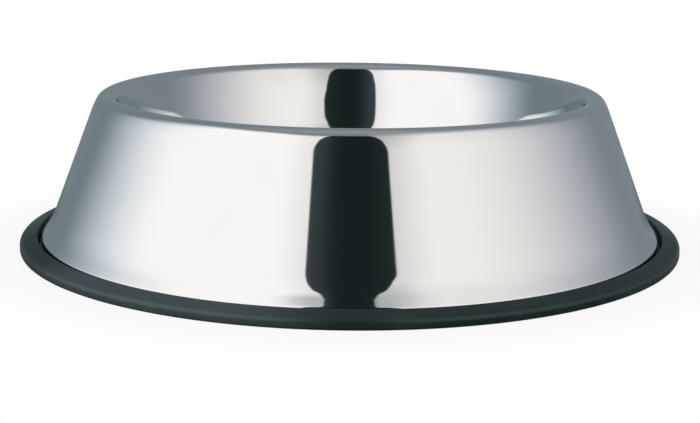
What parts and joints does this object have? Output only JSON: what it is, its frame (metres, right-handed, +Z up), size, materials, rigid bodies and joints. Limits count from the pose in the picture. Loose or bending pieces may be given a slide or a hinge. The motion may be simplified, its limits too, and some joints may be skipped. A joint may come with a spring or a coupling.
{
  "type": "no-tip pet bowl",
  "caption": "Round pressed-steel pet bowl with a rolled rim and a wide flared skirt that keeps it from tipping, standing in a removable rubber base ring.",
  "frame": {"origin": "centre of the ring's sole, on the surface that the bowl stands on", "axes": "+Z up along the axis of the bowl; the part is round, so X and Y are any pair across it"},
  "size_m": [0.25, 0.25, 0.057],
  "materials": {
    "polished_steel": "mirror-polished stainless steel",
    "base_rubber": "satin moulded rubber"
  },
  "bodies": {
    "ring": {"rubber_ring": "base_rubber"},
    "bowl": {"steel_bowl": "polished_steel"}
  },
  "joints": [
    {"name": "bowl_lift", "type": "slide", "parent": "ring", "child": "bowl", "axis": [0, 0, 1], "range_m": [0, 0.03]}
  ]
}
